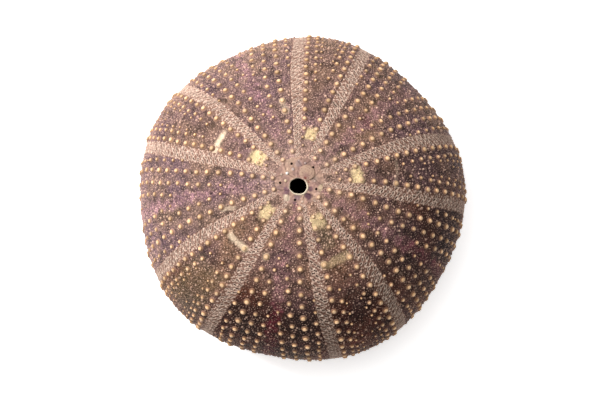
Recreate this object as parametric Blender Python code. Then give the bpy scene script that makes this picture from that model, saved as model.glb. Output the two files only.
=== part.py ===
"""Sea urchin shell: the empty test of a regular sea urchin, spines gone.

One grown body, so one object: a hollow, five-lobed, flattened ball with a
small opening on top (the periproct) and a wide one below (the peristome).
The solid's outer skin runs over the tips of the knobs that stud the test.

The profile is a cross-section of the wall, spun about +Z, and then shaped
round the axis by the rules below. Millimetres here, metres in the scene.
The five radii that carry the tube feet point at 18, 90, 162, 234 and 306
degrees, so the shell mirrors across the YZ plane.
"""

import math

import bmesh
import bpy
from mathutils import Matrix, Vector

MM = 0.001

# ---- driving dimensions, millimetres -------------------------------------
EQUATOR_R = 42.0  # mean radius at the widest level, over the knobs
CROWN_H = 27.0  # widest level up to the top
BASE_H = 18.0  # resting plane up to the widest level
CROWN_N = 2.15  # superellipse exponent of the crown
BASE_N = 2.05  # superellipse exponent of the underside
LOBE = 0.016  # the five radii stand out by this share of the radius
LOBE_FROM, LOBE_FULL = 6.0, 22.0  # the lobes grow in between these radii

FLAT_OUT, FLAT_IN = 22.0, 17.5  # the flat ring that the shell rests on
MOUTH_R = 12.5  # lower opening
MOUTH_SUNK = 1.5  # its lip stands this far above the resting plane
WALL = 2.0  # plates and knobs together

VENT_R = 2.05  # upper opening
VENT_SHIFT = -1.28  # it sits off the axis, along Y
VENT_SETTLE = 9.0  # rings are centred again from this radius on

GILL_ANGLE = 13.0  # gill notches, either side of the plain radii, degrees
GILL_W = 1.8
GILL_DEPTH = 2.3
PORE_RING = 4.94  # gonopores, distance from the axis
PORE_R = 0.28

GIRDLE_H = 1.2  # low ridge inside the lower opening
AURICLE_H = 3.2  # its five tabs, over the tube-foot radii
AURICLE_HALF = 15.0  # degrees
AURICLE_HOLE_R = 0.85

STEPS = 90  # facets round the axis, 18 to each lobe
ROWS_OUT, ROWS_IN = 20, 9

TUBE_FOOT_RADII = [18.0 + 72.0 * k for k in range(5)]
PLAIN_RADII = [54.0 + 72.0 * k for k in range(5)]


def clear_scene():
    for ob in list(bpy.data.objects):
        bpy.data.objects.remove(ob, do_unlink=True)


def smooth(x, a, b):
    t = min(max((x - a) / (b - a), 0.0), 1.0)
    return t * t * (3.0 - 2.0 * t)


def quarter(a, b, n, t):
    """A point of a superellipse's quarter, t from 0 (on b) to 1 (on a)."""
    ang = 0.5 * math.pi * t
    s, c = max(math.sin(ang), 0.0), max(math.cos(ang), 0.0)
    return a * s ** (2.0 / n), b * c ** (2.0 / n)


def outer_curve(dense=400):
    """Mean outer profile as (r, z), from the axis on top to the flat ring."""
    pts = []
    for i in range(dense + 1):
        r, z = quarter(EQUATOR_R, CROWN_H, CROWN_N, i / dense)
        pts.append((r, BASE_H + z))
    for i in range(1, dense + 1):
        r, z = quarter(EQUATOR_R - FLAT_OUT, BASE_H, BASE_N, 1.0 - i / dense)
        pts.append((FLAT_OUT + r, BASE_H - z))
    return pts


def offset_in(pts, dist):
    """The same curve moved inwards by dist, along its own normals."""
    out = []
    for i, (r, z) in enumerate(pts):
        r0, z0 = pts[max(i - 1, 0)]
        r1, z1 = pts[min(i + 1, len(pts) - 1)]
        tr, tz = r1 - r0, z1 - z0
        size = math.hypot(tr, tz)
        out.append((r + dist * tz / size, z - dist * tr / size))
    return out


def resample(pts, rows, turn_share=0.55):
    """Spreads rows along a curve, closer together where it turns more."""
    length = [0.0]
    turn = [0.0]
    for i in range(1, len(pts)):
        length.append(
            length[-1] + math.hypot(pts[i][0] - pts[i - 1][0], pts[i][1] - pts[i - 1][1])
        )
        if i == 1:
            turn.append(0.0)
            continue
        a = math.atan2(pts[i][1] - pts[i - 1][1], pts[i][0] - pts[i - 1][0])
        b = math.atan2(
            pts[i - 1][1] - pts[i - 2][1], pts[i - 1][0] - pts[i - 2][0]
        )
        turn.append(turn[-1] + abs((a - b + math.pi) % (2 * math.pi) - math.pi))
    total = [
        (1 - turn_share) * s / length[-1] + turn_share * t / turn[-1]
        for s, t in zip(length, turn)
    ]
    out, i = [], 0
    for k in range(rows + 1):
        want = k / rows
        while i < len(total) - 2 and total[i + 1] < want:
            i += 1
        span = total[i + 1] - total[i]
        f = min(max((want - total[i]) / span, 0.0), 1.0) if span > 0 else 0.0
        out.append(
            (
                pts[i][0] + f * (pts[i + 1][0] - pts[i][0]),
                pts[i][1] + f * (pts[i + 1][1] - pts[i][1]),
            )
        )
    return out


def section():
    """The closed cross-section of the wall, as (r, z) corners in order."""
    curve = outer_curve()
    outside = resample([p for p in curve if p[0] >= VENT_R or p[1] < 30], ROWS_OUT)
    outside[0] = (VENT_R, outside[0][1])
    outside[-1] = (FLAT_OUT, 0.0)
    lip = [
        (FLAT_IN, 0.0),
        (0.5 * (FLAT_IN + MOUTH_R), 0.42 * MOUTH_SUNK),
        (MOUTH_R + 0.3, MOUTH_SUNK - 0.15),
    ]
    floor_z = MOUTH_SUNK + 1.1
    rim = [
        (MOUTH_R, MOUTH_SUNK + 0.3),
        (MOUTH_R, floor_z),
        (MOUTH_R + 0.5, floor_z + GIRDLE_H),
        (MOUTH_R + 1.7, floor_z + GIRDLE_H),
        (MOUTH_R + 2.6, floor_z + 0.15),
    ]
    inner = offset_in(curve, WALL)
    inner = [p for p in inner if p[0] >= VENT_R + 0.25 or p[1] < 30]
    inside = resample(inner, ROWS_IN)
    inside[0] = (VENT_R + 0.25, inside[0][1])
    inside.append((FLAT_IN, WALL + 0.1))
    inside.reverse()
    return outside + lip + rim + inside


def spun_wall(name):
    """Spins the cross-section about Z and merges the seam."""
    mesh = bpy.data.meshes.new(name)
    bm = bmesh.new()
    start = math.radians(90.0)
    verts = [
        bm.verts.new((r * math.cos(start), r * math.sin(start), z))
        for r, z in section()
    ]
    edges = [
        bm.edges.new((verts[i], verts[(i + 1) % len(verts)]))
        for i in range(len(verts))
    ]
    bmesh.ops.spin(
        bm,
        geom=verts + edges,
        cent=(0, 0, 0),
        axis=(0, 0, 1),
        dvec=(0, 0, 0),
        angle=2 * math.pi,
        steps=STEPS,
        use_merge=True,
    )
    bmesh.ops.remove_doubles(bm, verts=bm.verts, dist=0.0001)
    for v in bm.verts:
        v.co = shaped(v.co)
    bmesh.ops.recalc_face_normals(bm, faces=bm.faces)
    bmesh.ops.scale(bm, vec=(MM, MM, MM), verts=bm.verts)
    bm.to_mesh(mesh)
    bm.free()
    ob = bpy.data.objects.new(name, mesh)
    bpy.context.scene.collection.objects.link(ob)
    return ob


def shaped(co):
    """Takes a point of the plain turned wall to its place on the shell."""
    x, y, z = co
    r, ang = math.hypot(x, y), math.atan2(y, x)
    # five low lobes
    wave = math.cos(5.0 * (ang - math.radians(90.0)))
    r_out = r * (1.0 + LOBE * wave * smooth(r, LOBE_FROM, LOBE_FULL))
    # the ridge inside the mouth rises into a tab over each tube-foot radius
    floor_z = MOUTH_SUNK + 1.1
    if r < MOUTH_R + 2.4 and floor_z + 0.2 < z < 30:
        off = min(
            abs((math.degrees(ang) - a + 180.0) % 360.0 - 180.0)
            for a in TUBE_FOOT_RADII
        )
        tab = 1.0 - smooth(off, 0.45 * AURICLE_HALF, AURICLE_HALF)
        z += AURICLE_H * tab
        r_out += 0.5 * tab
    # the upper opening and the rings near it sit off the axis
    shift = 0.0
    if z > 30:
        shift = VENT_SHIFT * (1.0 - smooth(r, VENT_R, VENT_SETTLE))
    return Vector((r_out * math.cos(ang), r_out * math.sin(ang) + shift, z))


def prism(bm, outline, low, high, turn):
    """Adds an upright prism over a closed outline, turned about Z."""
    rot = Matrix.Rotation(math.radians(turn), 4, "Z")
    bottom = [bm.verts.new(rot @ Vector((x, y, low))) for x, y in outline]
    face = bm.faces.new(bottom)
    top = bmesh.ops.extrude_face_region(bm, geom=[face])["geom"]
    moved = [g for g in top if isinstance(g, bmesh.types.BMVert)]
    bmesh.ops.translate(bm, verts=moved, vec=(0, 0, high - low))


def cutter(name, fill):
    """A mesh object that only cuts: drawn as wire and never rendered."""
    mesh = bpy.data.meshes.new(name)
    bm = bmesh.new()
    fill(bm)
    bmesh.ops.recalc_face_normals(bm, faces=bm.faces)
    bmesh.ops.scale(bm, vec=(MM, MM, MM), verts=bm.verts)
    bm.to_mesh(mesh)
    bm.free()
    ob = bpy.data.objects.new(name, mesh)
    bpy.context.scene.collection.objects.link(ob)
    ob.hide_render = True
    ob.display_type = "WIRE"
    return ob


def gill_notches(bm):
    """Ten round-ended slots in the edge of the lower opening."""
    half = 0.5 * GILL_W
    end = MOUTH_R + GILL_DEPTH - half
    arc = [
        (end + half * math.cos(a), half * math.sin(a))
        for a in (math.radians(-90.0 + 30.0 * i) for i in range(7))
    ]
    outline = [(MOUTH_R - 1.5, -half)] + arc + [(MOUTH_R - 1.5, half)]
    for mid in PLAIN_RADII:
        for side in (-1, 1):
            prism(bm, outline, -1.0, MOUTH_SUNK + 4.0, mid + side * GILL_ANGLE)


def gonopores(bm):
    """Five small round holes round the upper opening."""
    outline = [
        (PORE_RING + PORE_R * math.cos(a), PORE_R * math.sin(a))
        for a in (math.radians(45.0 * i) for i in range(8))
    ]
    top = BASE_H + CROWN_H
    for mid in PLAIN_RADII:
        prism(bm, outline, top - WALL - 1.5, top + 1.0, mid)


def auricle_holes(bm):
    """A round hole through each tab, along its radius."""
    mid_z = MOUTH_SUNK + 1.1 + GIRDLE_H + 0.45 * AURICLE_H
    for ang in TUBE_FOOT_RADII:
        made = bmesh.ops.create_cone(
            bm,
            cap_ends=True,
            segments=8,
            radius1=AURICLE_HOLE_R,
            radius2=AURICLE_HOLE_R,
            depth=5.0,
        )
        place = (
            Matrix.Rotation(math.radians(ang), 4, "Z")
            @ Matrix.Translation((MOUTH_R + 1.6, 0, mid_z))
            @ Matrix.Rotation(math.radians(90.0), 4, "Y")
        )
        bmesh.ops.transform(bm, matrix=place, verts=made["verts"])


def lime_material():
    mat = bpy.data.materials.new("urchin_lime")
    mat.use_nodes = True
    bsdf = mat.node_tree.nodes["Principled BSDF"]
    bsdf.inputs["Base Color"].default_value = (0.27, 0.16, 0.12, 1.0)
    bsdf.inputs["Roughness"].default_value = 0.72
    bsdf.inputs["Metallic"].default_value = 0.0
    return mat


def main():
    clear_scene()
    shell = spun_wall("shell")
    # the lobe that points along +Y has none opposite it, so the body is moved
    # to stand centred over the origin
    shell.location = (0.0, -EQUATOR_R * LOBE * MM, 0.0)
    for name, fill in (
        ("gill_notch_cutters", gill_notches),
        ("gonopore_cutters", gonopores),
        ("auricle_hole_cutters", auricle_holes),
    ):
        tool = cutter(name, fill)
        tool.location = shell.location
        cut = shell.modifiers.new(name, "BOOLEAN")
        cut.operation = "DIFFERENCE"
        cut.solver = "EXACT"
        cut.object = tool
    shell.data.materials.append(lime_material())
    shell.data.shade_smooth()
    shell.data.set_sharp_from_angle(angle=math.radians(40.0))


main()
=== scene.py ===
"""Sea urchin shell: the looks of the empty test, over its CAD wall.

Millimetres in the working, metres in the scene. The shell is built as the
animal grows it: ten double columns of plates, ten bands of pore pairs, knobs
that carried the spines in rows, small grains between them, and the ring of
plates round the upper opening.
"""

import math

import bpy
import numpy as np
from mathutils import Matrix, Vector
from mathutils.kdtree import KDTree


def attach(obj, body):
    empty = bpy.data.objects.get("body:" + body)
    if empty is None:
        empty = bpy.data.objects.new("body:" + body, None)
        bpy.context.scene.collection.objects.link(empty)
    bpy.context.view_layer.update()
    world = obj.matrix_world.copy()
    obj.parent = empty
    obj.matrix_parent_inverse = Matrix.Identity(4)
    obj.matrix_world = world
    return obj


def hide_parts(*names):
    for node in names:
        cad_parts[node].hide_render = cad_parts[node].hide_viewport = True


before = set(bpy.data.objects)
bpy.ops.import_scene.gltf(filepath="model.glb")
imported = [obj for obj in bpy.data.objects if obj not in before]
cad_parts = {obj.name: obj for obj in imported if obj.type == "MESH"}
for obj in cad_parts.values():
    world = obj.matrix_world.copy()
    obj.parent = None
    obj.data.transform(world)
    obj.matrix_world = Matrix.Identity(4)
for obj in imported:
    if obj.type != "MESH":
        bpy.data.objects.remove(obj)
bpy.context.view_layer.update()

MM = 0.001

# ---- the wall, as the CAD has it ------------------------------------------
EQUATOR_R, CROWN_H, BASE_H = 42.0, 27.0, 18.0
CROWN_N, BASE_N = 2.15, 2.05
LOBE, LOBE_FROM, LOBE_FULL = 0.016, 6.0, 22.0
FLAT_OUT, FLAT_IN, MOUTH_R = 22.0, 17.5, 12.5
WALL = 2.0
VENT_R, VENT_SHIFT = 2.05, -1.28
GILL_ANGLE, GILL_W, GILL_DEPTH = 13.0, 1.8, 2.3
Y0 = -EQUATOR_R * LOBE

SKIN = 0.65  # the plates lie this far under the tips of the knobs
EDGE_R = 12.62  # edge of the plates at the lower opening
DISC_R = 6.0  # the ring of plates round the upper opening
EXPO = 0.80  # share of the seen brightness that is the shell's own colour

TUBE_FOOT = [18.0 + 72.0 * k for k in range(5)]
PLAIN = [54.0 + 72.0 * k for k in range(5)]


# ---- small tools -----------------------------------------------------------
def lin(r, g, b):
    c = np.array([r, g, b], float) / 255.0
    return np.where(c <= 0.04045, c / 12.92, ((c + 0.055) / 1.055) ** 2.4)


def smooth(x, a, b):
    t = np.clip((np.asarray(x, float) - a) / (b - a), 0.0, 1.0)
    return t * t * (3.0 - 2.0 * t)


def mix(a, b, t):
    t = np.asarray(t, float)[..., None]
    return a * (1.0 - t) + b * t


def chance(i, j, k, seed):
    """Repeatable numbers from 0 to 1 for whole-number places."""
    i, j, k = (np.asarray(n).astype(np.int64) for n in (i, j, k))
    h = (i * 73856093) ^ (j * 19349663) ^ (k * 83492791) ^ (seed * 40503551)
    h &= 0xFFFFFFFF
    h = ((h ^ (h >> 15)) * 739982445) & 0xFFFFFFFF
    h = ((h ^ (h >> 12)) * 695872825) & 0xFFFFFFFF
    h ^= h >> 15
    return h / 4294967295.0


def noise(p, size, seed):
    """Smooth value noise from 0 to 1; size is in millimetres."""
    q = p / size
    i = np.floor(q).astype(np.int64)
    f = q - i
    f = f * f * (3.0 - 2.0 * f)
    out = 0.0
    for a in (0, 1):
        wa = f[..., 0] if a else 1.0 - f[..., 0]
        for b in (0, 1):
            wb = f[..., 1] if b else 1.0 - f[..., 1]
            for c in (0, 1):
                wc = f[..., 2] if c else 1.0 - f[..., 2]
                out = out + wa * wb * wc * chance(
                    i[..., 0] + a, i[..., 1] + b, i[..., 2] + c, seed
                )
    return out


# ---- the meridian ----------------------------------------------------------
def quarter(a, b, n, t):
    ang = 0.5 * np.pi * t
    s, c = np.maximum(np.sin(ang), 0.0), np.maximum(np.cos(ang), 0.0)
    return a * s ** (2.0 / n), b * c ** (2.0 / n)


def envelope():
    t = np.linspace(0.0, 1.0, 3000)
    r1, z1 = quarter(EQUATOR_R, CROWN_H, CROWN_N, t)
    r2, z2 = quarter(EQUATOR_R - FLAT_OUT, BASE_H, BASE_N, 1.0 - t[1:])
    r = np.r_[r1, FLAT_OUT + r2]
    z = np.r_[BASE_H + z1, BASE_H - z2]
    return r, z


def moved_in(r, z, dist):
    tr, tz = np.gradient(r), np.gradient(z)
    size = np.hypot(tr, tz)
    return r + dist * tz / size, z - dist * tr / size


def by_length(r, z, step, soft=0.0):
    s = np.r_[0.0, np.cumsum(np.hypot(np.diff(r), np.diff(z)))]
    n = int(round(s[-1] / step))
    even = np.linspace(0.0, s[-1], n + 1)
    r, z = np.interp(even, s, r), np.interp(even, s, z)
    if soft:
        w = int(soft / step)
        ker = np.hanning(2 * w + 3)[1:-1]
        ker /= ker.sum()
        pr = np.r_[2 * r[0] - r[w:0:-1], r, 2 * r[-1] - r[-2 : -w - 2 : -1]]
        pz = np.r_[z[w:0:-1], z, 2 * z[-1] - z[-2 : -w - 2 : -1]]
        r, z = np.convolve(pr, ker, "valid"), np.convolve(pz, ker, "valid")
    s = np.r_[0.0, np.cumsum(np.hypot(np.diff(r), np.diff(z)))]
    return s, r, z


ENV_R, ENV_Z = envelope()
_r, _z = moved_in(ENV_R, ENV_Z, SKIN)
_r[0], _z[0] = 0.0, BASE_H + CROWN_H - SKIN
_r = np.r_[_r, FLAT_IN, 16.3, 15.0, 13.8, 13.1, EDGE_R]
_z = np.r_[_z, SKIN, 0.80, 1.12, 1.5, 1.76, 2.02]
ARC, ARC_R, ARC_Z = by_length(_r, _z, 0.02, soft=0.6)
ARC_R[0] = 0.0
END = ARC[-1]
AMBITUS = ARC[np.argmax(ARC_R)]


def rad_at(s):
    return np.interp(s, ARC, ARC_R)


def gill(phi):
    """How far the ten gill notches cut into the edge of the lower opening."""
    out = np.zeros_like(phi)
    half = 0.5 * GILL_W
    for mid in PLAIN:
        for side in (-1, 1):
            a = phi - math.radians(mid + side * GILL_ANGLE)
            x = 13.4 * np.arctan2(np.sin(a), np.cos(a))
            inside = np.abs(x) < half
            arch = np.sqrt(np.maximum(half * half - x * x, 0.0))
            out = np.where(inside, GILL_DEPTH - half + arch, out)
    return out


def place(r, z, phi):
    """Takes a point of the plain turned wall to its place on the shell."""
    cut = gill(phi)
    near = (z < 6.0) & (r < FLAT_IN)
    share = np.clip((FLAT_IN - r) / (FLAT_IN - EDGE_R), 0.0, 1.0)
    r = np.where(near, r + cut * share, r)
    wave = np.cos(5.0 * (phi - 0.5 * np.pi))
    ro = r * (1.0 + LOBE * wave * smooth(r, LOBE_FROM, LOBE_FULL))
    return np.stack([ro * np.cos(phi), ro * np.sin(phi) + Y0, z], -1)


def skin(s, phi):
    """Point of the plates' surface: arc s from the top and angle phi."""
    return place(np.interp(s, ARC, ARC_R), np.interp(s, ARC, ARC_Z), phi)


def axes(s, phi):
    """The surface point and the directions out, down the shell and along."""
    p = skin(s, phi)
    down = skin(s + 0.06, phi) - skin(s - 0.06, phi)
    along = skin(s, phi + 0.003) - skin(s, phi - 0.003)
    out = np.cross(down, along)
    out /= np.linalg.norm(out, axis=-1, keepdims=True)
    down /= np.linalg.norm(down, axis=-1, keepdims=True)
    return p, out, down, np.cross(out, down)


def lifted(s, phi, h):
    p, out, _, _ = axes(s, phi)
    q = p + out * h[..., None]
    q[..., 2] = np.maximum(q[..., 2], 0.0)
    return q


# ---- where the columns of plates and the pore bands run ---------------------
def zone_mid(s):
    """Degrees from a tube-foot radius to the middle of its pore bands."""
    return np.interp(
        s,
        [0, 31, 41, 48, 55, 62, 70, 78, 84, 90],
        [14.4, 14.4, 13.4, 12.9, 12.5, 12.7, 13.6, 15.4, 17.0, 18.0],
    )


def zone_half(s):
    return np.interp(
        s,
        [5, 7.2, 12.3, 20.6, 26, 60, 70, 80, 90],
        [0.60, 0.70, 1.0, 1.45, 1.7, 1.7, 1.45, 1.1, 0.9],
    )


# the bands don't run quite evenly; degrees, (left, right) looking outwards
TURN = [(0.0, -1.5), (-2.0, 0.0), (-1.2, 0.0), (0.0, 0.0), (0.0, 0.0)]


def band(k, side, s):
    """Inner and outer edge of a pore band, from the tube-foot radius, mm."""
    turn = TURN[k][0 if side < 0 else 1] * smooth(s, 8.0, 16.0) * (1 - smooth(s, 62, 84))
    mid = rad_at(s) * np.radians(zone_mid(s) + turn)
    half = zone_half(s) * (1.0 - 0.08 * smooth(s, 38, 46) * (1 - smooth(s, 60, 70)))
    wave = smooth(s, 7.0, 10.0)
    a = 0.07 * np.sin(4.1 * s + k) + 0.05 * np.sin(7.3 * s + 2.0 * k + side)
    b = 0.07 * np.sin(3.7 * s + 2.0 * k) + 0.05 * np.sin(6.9 * s + k + side)
    return mid - half + wave * a, mid + half + wave * b


def plain_edge(k, side, s):
    """Half width of a plain area, from its own radius to the pore band."""
    full = rad_at(s) * math.radians(36.0)
    if side < 0:  # towards larger angles: the next area's right-hand band
        return full - band((k + 1) % 5, 1, s)[1]
    return full - band(k, -1, s)[1]


def area_edge(kind, k, side, s):
    return plain_edge(k, side, s) if kind == "I" else band(k, side, s)[0]


def area_phi(kind, k):
    return math.radians((PLAIN if kind == "I" else TUBE_FOOT)[k])


def to_phi(kind, k, s, lat):
    return area_phi(kind, k) - lat / np.maximum(rad_at(s), 0.5)


# ---- the growth pitch of the plates -----------------------------------------
_even = np.linspace(0.0, 100.0, 5001)


def phases(at, pitch):
    p = np.interp(_even, at, pitch)
    return np.r_[0.0, np.cumsum(0.02 / (0.5 * (p[1:] + p[:-1])))]


PLATE_Q = {
    "I": phases([4, 6, 9, 12, 16, 45, 55, 65, 80, 90], [2.1, 2.2, 2.6, 2.9, 3.15, 3.15, 3.0, 2.6, 1.9, 1.5]),
    "A": phases([4, 6, 9, 12, 16, 50, 60, 70, 80, 90], [1.8, 1.95, 2.2, 2.5, 2.75, 2.75, 2.6, 2.2, 1.7, 1.4]),
}
# one knob of each column, by its arc, and the column's stretch: left and right
START = {
    "I": [
        ((28.9, 0.926), (30.0, 0.917)), ((29.0, 0.941), (30.4, 0.951)), ((29.75, 0.975), (29.3, 0.955)),
        ((28.3, 1.030), (30.0, 1.020)), ((29.0, 1.010), (30.3, 1.010)),
    ],
    "A": [
        ((28.0, 1.01), (26.8, 1.06)), ((28.3, 0.917), (27.2, 1.00)), ((28.5, 0.92), (29.4, 0.93)),
        ((26.6, 1.00), (27.1, 0.96)), ((28.0, 1.07), (27.3, 1.11)),
    ],
}


def plate_no(kind, k, side, s):
    """Counts plates outwards; whole numbers are where the main knobs sit."""
    arc, stretch = START[kind][k][0 if side < 0 else 1]
    q = PLATE_Q[kind]
    at = np.interp(s, _even, q)
    return (at - np.interp(arc, _even, q)) / stretch


def plate_arc(kind, k, side, number):
    arc, stretch = START[kind][k][0 if side < 0 else 1]
    q = PLATE_Q[kind]
    return np.interp(number * stretch + np.interp(arc, _even, q), q, _even)


# ---- colours -----------------------------------------------------------------
GREY = lin(142, 111, 113)
BEIGE = lin(168, 134, 112)
MAROON = lin(84, 24, 14)
SOOT = lin(32, 10, 4)
LILAC = lin(184, 138, 144)
WINE = lin(110, 44, 58)
CREAM = lin(255, 226, 172)
IVORY = lin(255, 228, 196)
OLIVE = lin(140, 130, 88)

# how light the plates are between the knobs, by arc
TONE = {
    ("I", 0): [(6, 1.10), (14, 0.85), (30, 0.80), (60, 0.85)],
    ("I", 1): [(6, 1.15), (14, 0.95), (30, 0.95), (60, 1.0)],
    ("I", 2): [(6, 1.10), (14, 0.90), (30, 0.90), (60, 0.95)],
    ("I", 3): [(6, 1.05), (14, 0.85), (25, 0.70), (28, 0.54), (31.5, 0.28), (36, 0.16), (52, 0.16), (66, 0.4), (90, 0.7)],
    ("I", 4): [(6, 1.00), (14, 0.72), (27, 0.50), (32, 0.30), (50, 0.26), (66, 0.5), (90, 0.7)],
    ("A", 0): [(6, 1.10), (15, 0.95), (19, 0.62), (34, 0.52), (50, 0.6), (90, 0.8)],
    ("A", 1): [(6, 1.15), (15, 1.10), (19, 0.90), (60, 0.95)],
    ("A", 2): [(6, 1.15), (22, 1.10), (27, 0.92), (60, 0.9)],
    ("A", 3): [(6, 1.10), (14, 0.80), (22, 0.85), (30, 0.66), (40, 0.5), (66, 0.6), (90, 0.8)],
    ("A", 4): [(6, 1.10), (13, 0.72), (24, 0.58), (30, 0.40), (34, 0.16), (50, 0.14), (66, 0.4), (90, 0.7)],
}
# median stripe of the plain areas: arc, strength
STRIPE = [
    [(8, 0.3), (17, 0.7), (22, 1.0), (27, 0.8), (42, 0.5), (60, 0.5)],
    [(8, 0.3), (14, 0.7), (24, 1.0), (42, 0.8), (60, 0.5)],
    [(8, 0.3), (16, 0.8), (36, 1.0), (45, 0.9), (60, 0.5)],
    [(6, 0.9), (12, 0.8), (18, 0.6), (24, 1.15), (36, 1.15), (46, 0.8), (60, 0.5)],
    [(6, 0.9), (12, 0.7), (22, 1.1), (38, 1.0), (60, 0.5)],
]
# marks: kind, area, arc from, to, across from, to, colour, strength, soft down, across
MARKS = [
    ("A", 0, 12.9, 15.5, -2.0, 2.1, CREAM, 0.90, 1.0, 0.9),
    ("A", 1, 10.7, 13.4, -0.8, 1.9, CREAM, 0.92, 1.2, 1.1),
    ("A", 2, 9.9, 13.3, -1.4, 1.8, CREAM, 1.12, 1.3, 1.2),
    ("A", 3, 9.2, 12.8, -1.4, 1.2, CREAM, 0.80, 1.4, 1.1),
    ("A", 4, 9.2, 12.5, -1.5, 2.1, CREAM, 0.70, 1.5, 1.4),
    ("A", 2, 21.9, 23.3, -3.9, 2.3, IVORY, 1.08, 0.7, 2.4),
    ("A", 3, 20.4, 21.8, -3.6, 2.6, IVORY, 0.80, 0.7, 2.2),
    ("A", 4, 20.3, 22.3, -3.4, 4.0, CREAM, 0.32, 0.7, 0.7),
    ("A", 0, 23.7, 24.3, -3.0, 4.0, IVORY, 0.25, 0.3, 2.2),
    ("I", 1, 17.8, 22.2, 4.2, 5.4, IVORY, 0.40, 0.5, 0.6),
    ("I", 2, 16.8, 21.2, -5.0, -3.8, IVORY, 0.45, 0.5, 0.6),
    ("I", 3, 19.8, 21.7, 4.4, 5.6, IVORY, 0.35, 0.5, 0.6),
    ("I", 0, 22.4, 24.6, -2.6, 2.4, WINE, 0.35, 0.7, 0.7),
    ("I", 0, 9.0, 13.0, 1.0, 2.6, OLIVE, 0.20, 0.6, 0.6),
    ("A", 4, 12.5, 18.0, -1.6, 1.8, OLIVE, 0.30, 1.2, 1.2),
    ("A", 3, 30.0, 48.0, -5.0, 5.0, OLIVE, 0.22, 2.0, 2.0),
]


# how brown (1) or mauve (0) the plates of an area are
WARMTH = {"I": (0.45, 0.20, 0.0, 0.80, 0.65), "A": (0.45, 0.45, 0.35, 0.75, 0.90)}


def ground(kind, k, s, lat, half, p):
    """Linear colour of the plates between the knobs, and how mottled it is."""
    wide = noise(p, 7.0, 11)
    mid = noise(p, 2.4, 12)
    fine = noise(p, 0.9, 13)
    col = mix(GREY, BEIGE, np.clip(0.46 + 1.1 * (wide - 0.5) + 0.7 * (mid - 0.5), 0, 1))
    near = 1.0 - smooth(s, 7.0, 16.0)
    col = mix(col, lin(192, 160, 146), 0.6 * near)
    under = smooth(s, 66.0, 84.0)
    col = mix(col, lin(176, 160, 140), 0.6 * under)
    tone = np.interp(s + 3.4 * (mid - 0.5) + 3.0 * (wide - 0.5), *zip(*TONE[kind, k]))
    dark = np.clip(1.0 - tone, 0.0, 1.0)
    deep = mix(SOOT, MAROON, np.clip(0.5 + 1.6 * (wide - 0.5), 0, 1))
    col = mix(col, np.broadcast_to(deep, col.shape), smooth(dark, 0.05, 0.95) * 0.9)
    col = col * np.maximum(tone, 0.92)[..., None]
    if kind == "I":
        strength = np.interp(s, *zip(*STRIPE[k]))
        zig = 0.45 * np.cos(np.pi * 2.0 * plate_no("I", k, -1, s))
        reach = np.minimum(1.6, 0.36 * half)
        across = np.abs(lat - zig - 1.8 * (noise(p, 2.3, 21) - 0.5))
        stripe = strength * (1.0 - smooth(across, 0.35 * reach, 1.30 * reach))
        tone_c = mix(np.broadcast_to(LILAC, col.shape), WINE, smooth(dark, 0.42, 0.85))
        col = mix(col, tone_c * (0.70 + 0.6 * mid)[..., None], 0.72 * stripe * (0.5 + 0.9 * fine))
    hue = WARMTH[kind][k]
    col = col * (np.array([1.0, 1.0, 1.06]) * (1 - hue) + np.array([1.05, 0.95, 0.84]) * hue)
    # painted light: the plates of sectors 1 and 2, on the side towards the key lamp, are painted up to 36 % lighter
    # towards the ambitus for light wrapped round from the white floor; partly the paler ambitus of the shell
    rim = smooth(s, 38.0, 50.0) * (0.0, 0.26, 0.36, 0.0, 0.0)[k]
    col = col * (1.0 + rim)[..., None]
    # dark spots and the sutures' stain
    spot = smooth(noise(p, 1.4, 31), 0.52, 0.80)
    col = col * (1.0 - 0.45 * spot)[..., None]
    col = col * (0.72 + 0.56 * fine)[..., None]
    for mk, mi, s0, s1, a0, a1, tint, amount, soft, wide_soft in MARKS:
        if (mk, mi) != (kind, k):
            continue
        wob = (noise(p, 1.3, 41) - 0.5) * 0.9
        m = (
            smooth(s + wob, s0 - soft * 0.5, s0 + soft * 0.5)
            * (1 - smooth(s + wob, s1 - soft * 0.5, s1 + soft * 0.5))
            * smooth(lat + wob, a0 - wide_soft * 0.5, a0 + wide_soft * 0.5)
            * (1 - smooth(lat + wob, a1 - wide_soft * 0.5, a1 + wide_soft * 0.5))
        )
        col = mix(col, np.broadcast_to(tint, col.shape), np.clip(m * amount, 0, 1))
    return col * EXPO


def mark_cover(kind, k, s, lat):
    """How much a pale mark covers a place, for the knobs and grains on it."""
    out = np.zeros_like(s)
    for mk, mi, s0, s1, a0, a1, tint, amount, soft, wide_soft in MARKS:
        if (mk, mi) == (kind, k) and tint is not WINE and tint is not OLIVE:
            m = (s > s0) & (s < s1) & (lat > a0) & (lat < a1)
            out = np.maximum(out, m * min(amount, 1.0))
    return out


def darkness(kind, k, s):
    return np.clip(1.0 - np.interp(s, *zip(*TONE[kind, k])), 0.0, 1.0)


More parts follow.
